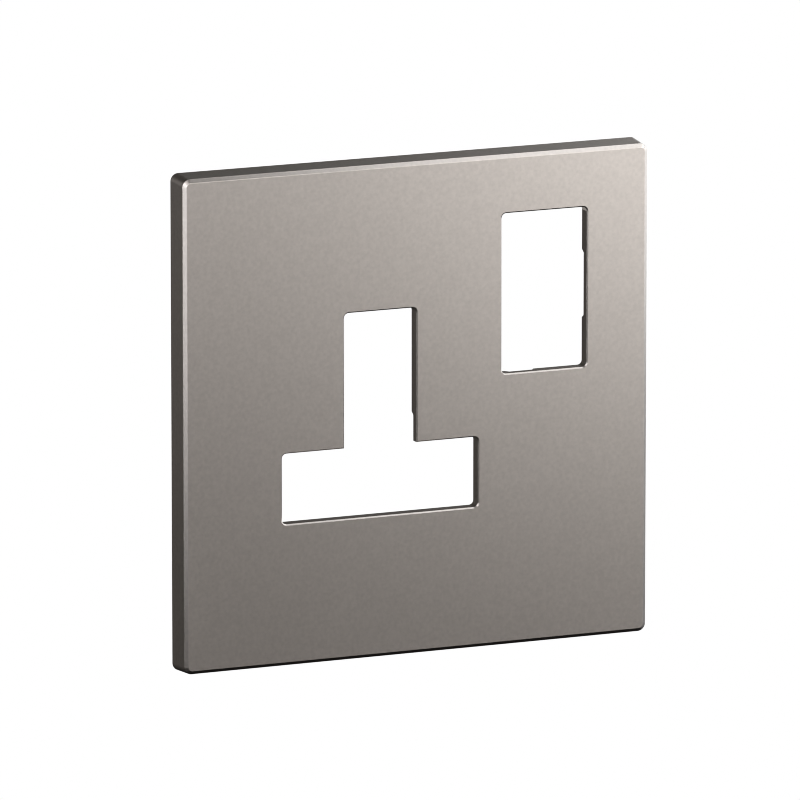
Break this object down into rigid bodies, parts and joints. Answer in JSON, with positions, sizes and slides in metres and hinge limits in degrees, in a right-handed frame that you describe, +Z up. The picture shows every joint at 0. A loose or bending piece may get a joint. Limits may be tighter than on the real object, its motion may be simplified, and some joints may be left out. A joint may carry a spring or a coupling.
{
  "type": "switched socket cover plate",
  "caption": "Square clip-on cover plate in satin metal, with a T-shaped opening for a plug's pins and an upright opening for a rocker switch.",
  "frame": {"origin": "middle of the plate's back edge, in the plane where it meets the wall", "axes": "+X to the right as seen from the front, +Y into the wall, +Z up; the front faces -Y"},
  "size_m": [0.088, 0.0053, 0.088],
  "materials": {
    "satin_metal": "satin"
  },
  "bodies": {
    "root": {"cover_plate": "satin_metal"}
  },
  "joints": []
}
